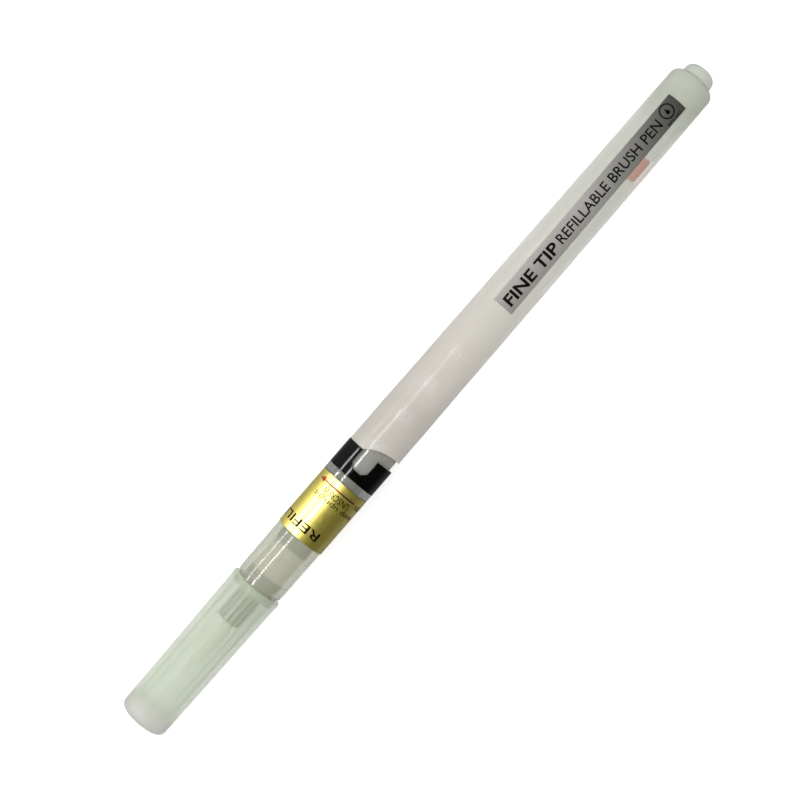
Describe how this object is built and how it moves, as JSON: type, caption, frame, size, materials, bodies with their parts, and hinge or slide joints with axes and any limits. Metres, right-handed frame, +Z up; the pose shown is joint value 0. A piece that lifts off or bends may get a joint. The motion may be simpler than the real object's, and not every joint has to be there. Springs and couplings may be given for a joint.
{
  "type": "brush pen",
  "caption": "Refillable brush pen with a soft squeeze barrel that unscrews, a ringed grip, a filament brush tip and a push-on cap.",
  "frame": {"origin": "directly below the middle of the capped pen's length, level with the lowest point of the cap's lip, on which the pen lies", "axes": "+X runs along the pen from the capped brush to the tail, +Z is up with the strip label on top, and +Y completes the right-handed frame; the pen's axis lies along X at z = 5.92 mm"},
  "size_m": [0.178, 0.0118, 0.0118],
  "materials": {
    "cap_plastic": "translucent, faintly green, glossy",
    "filament": "drawn filaments, satin",
    "clear_plastic": "translucent, glossy",
    "white_plastic": "satin",
    "grey_plastic": "satin",
    "felt": "dense off-white felt",
    "grip_plastic": "translucent, finely ringed, glossy",
    "gold_foil": "gold-coloured metallised film",
    "neck_plastic": "translucent, glossy",
    "seal_rubber": "matt black",
    "black_plastic": "glossy black",
    "barrel_plastic": "milky, soft, satin",
    "silver_foil": "brushed silver-coloured film",
    "red_film": "satin red film",
    "plug_plastic": "translucent, faintly green, glossy"
  },
  "bodies": {
    "front_section": {"bristle_tuft": "filament", "tuft_base": "filament", "nozzle": "clear_plastic", "feed_tube": "white_plastic", "front_retainer": "grey_plastic", "felt_regulator": "felt", "rear_retainer": "grey_plastic", "grip_shell": "grip_plastic", "wrap_label": "gold_foil", "threaded_neck": "neck_plastic", "neck_o_ring": "seal_rubber", "orifice_plug": "white_plastic", "spacer_ring": "black_plastic"},
    "cap": {"cap": "cap_plastic"},
    "tail_plug": {"tail_plug": "plug_plastic"},
    "barrel": {"squeeze_barrel": "barrel_plastic", "strip_label": "silver_foil", "lot_sticker": "red_film"}
  },
  "joints": [
    {"name": "cap_pull", "type": "slide", "parent": "front_section", "child": "cap", "axis": [-1, 0, 0], "range_m": [0, 0.045]},
    {"name": "barrel_travel", "type": "slide", "parent": "front_section", "child": "tail_plug", "axis": [1, 0, 0], "range_m": [0, 0.0162]},
    {"name": "barrel_turn", "type": "hinge", "parent": "tail_plug", "child": "barrel", "pos_m": [-0.01635, 0, 0.00592], "axis": [1, 0, 0], "range_deg": [0, 2880]}
  ],
  "couplings": [
    {"joint": "barrel_travel", "follows": "barrel_turn", "m_per_rad": 0.00031831}
  ]
}
